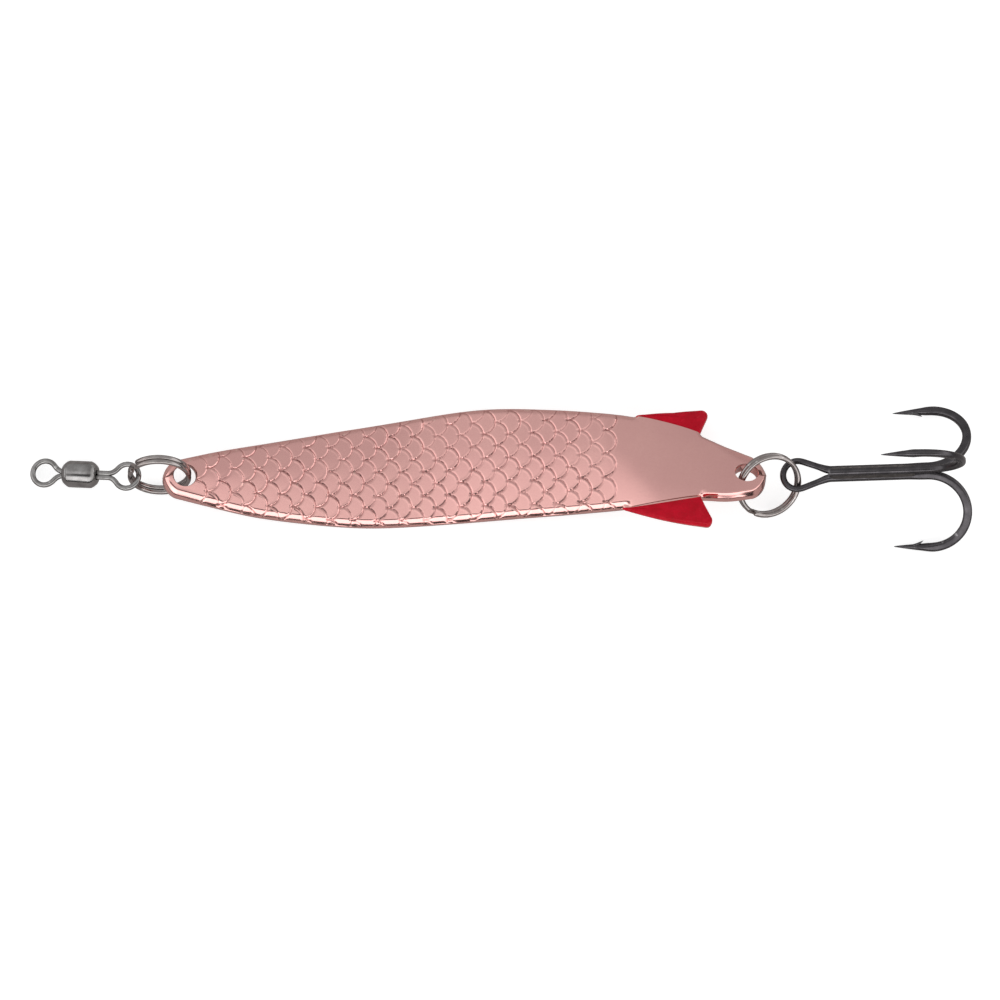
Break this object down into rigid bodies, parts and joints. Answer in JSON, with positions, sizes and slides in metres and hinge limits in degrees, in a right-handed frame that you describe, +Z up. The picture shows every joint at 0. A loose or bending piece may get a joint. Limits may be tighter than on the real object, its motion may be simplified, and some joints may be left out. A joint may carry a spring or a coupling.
{
  "type": "spoon lure",
  "caption": "S-bent stamped spoon blade with scale embossing and red fins, split rings, a barrel swivel at the head and a treble hook at the tail.",
  "frame": {"origin": "centre of the bounding box in X and Y, on the surface that the lure lies on", "axes": "+X from the line eye towards the treble hook, +Z up through the blade's front face, +Y to the side that the upper fin is on"},
  "size_m": [0.1331, 0.0208, 0.0187],
  "materials": {
    "copper_plate": "polished copper plate over stamped brass",
    "red_enamel": "gloss",
    "ring_nickel": "bright nickel",
    "swivel_gunmetal": "satin black nickel",
    "hook_black_nickel": "polished black nickel",
    "braze": "black nickel over brazing metal"
  },
  "bodies": {
    "blade": {"spoon_blade": "copper_plate", "upper_fin_enamel": "red_enamel", "lower_fin_enamel": "red_enamel"},
    "front_ring": {"front_split_ring": "ring_nickel"},
    "ring_eye": {"ring_side_eye": "swivel_gunmetal", "ring_side_eye_head": "swivel_gunmetal"},
    "barrel": {"swivel_barrel": "swivel_gunmetal"},
    "line_eye": {"line_eye": "swivel_gunmetal", "line_eye_head": "swivel_gunmetal"},
    "rear_ring": {"rear_split_ring": "ring_nickel"},
    "treble": {"treble_double_hook": "hook_black_nickel", "treble_single_hook": "hook_black_nickel", "treble_braze": "braze"}
  },
  "joints": [
    {"name": "front_ring_flap", "type": "hinge", "parent": "blade", "child": "front_ring", "pos_m": [-0.04391, -0.0003, 0.00445], "axis": [0, -0.9561, 0.293], "range_deg": [-30, 30]},
    {"name": "swivel_swing", "type": "hinge", "parent": "front_ring", "child": "ring_eye", "pos_m": [-0.05217, -0.00043, 0.00404], "axis": [0.1045, -0.2914, -0.9509], "range_deg": [-80, 80]},
    {"name": "barrel_spin", "type": "hinge", "parent": "ring_eye", "child": "barrel", "pos_m": [-0.05935, 0.00027, 0.00242], "axis": [-0.9712, 0.0942, -0.219], "continuous": true},
    {"name": "line_eye_spin", "type": "hinge", "parent": "barrel", "child": "line_eye", "pos_m": [-0.05935, 0.00027, 0.00242], "axis": [-0.9712, 0.0942, -0.219], "continuous": true},
    {"name": "rear_ring_swing", "type": "hinge", "parent": "blade", "child": "rear_ring", "pos_m": [0.0346, -0.00089, 0.00598], "axis": [0.1325, 0.508, 0.8511], "range_deg": [-35, 35]},
    {"name": "treble_swing", "type": "hinge", "parent": "rear_ring", "child": "treble", "pos_m": [0.04199, -0.00008, 0.0034], "axis": [-0.1954, 0.727, 0.6582], "range_deg": [-70, 70]}
  ]
}
